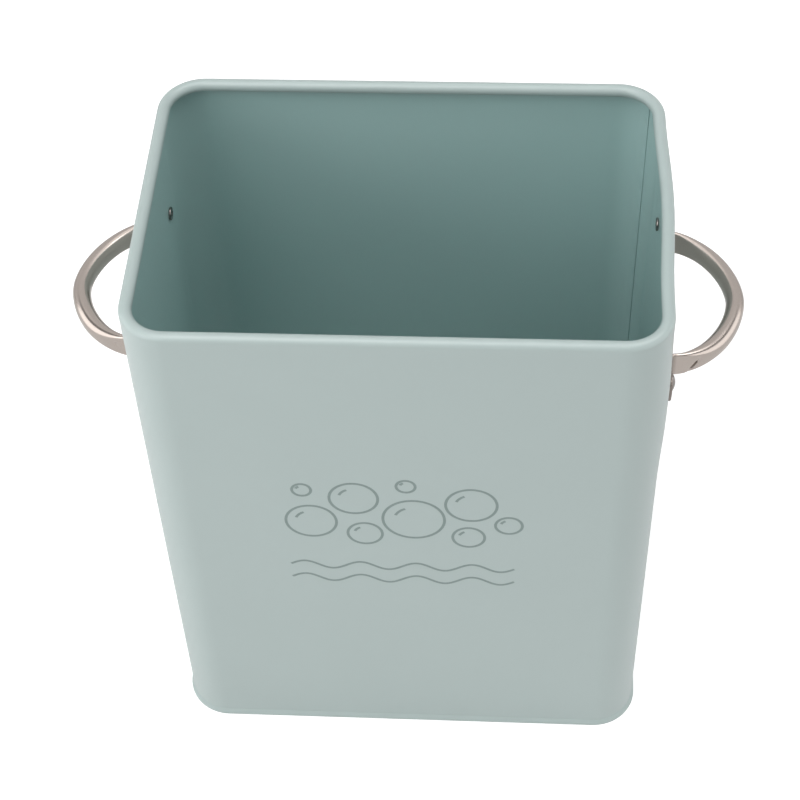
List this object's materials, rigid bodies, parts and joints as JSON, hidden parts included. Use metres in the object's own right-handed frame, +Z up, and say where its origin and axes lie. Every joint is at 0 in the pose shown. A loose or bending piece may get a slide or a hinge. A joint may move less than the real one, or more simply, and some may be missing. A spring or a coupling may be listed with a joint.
{
  "type": "laundry powder container",
  "caption": "Open rectangular sheet-metal storage tin with a rolled rim, rounded corners, a hemmed base and a riveted tube handle on each side.",
  "frame": {"origin": "centre of the base, on the surface that the tin stands on", "axes": "+Z up, +X to the right across the width between the handles, -Y towards the front face"},
  "size_m": [0.251, 0.1352, 0.242],
  "materials": {
    "painted_body": "smooth gloss, pale grey-green",
    "handle_steel": "satin polished",
    "rivet_steel": "satin"
  },
  "bodies": {
    "root": {"body_wall": "painted_body", "base_panel": "painted_body", "left_handle": "handle_steel", "right_handle": "handle_steel", "left_front_rivet": "rivet_steel", "left_back_rivet": "rivet_steel", "right_front_rivet": "rivet_steel", "right_back_rivet": "rivet_steel"}
  },
  "joints": []
}
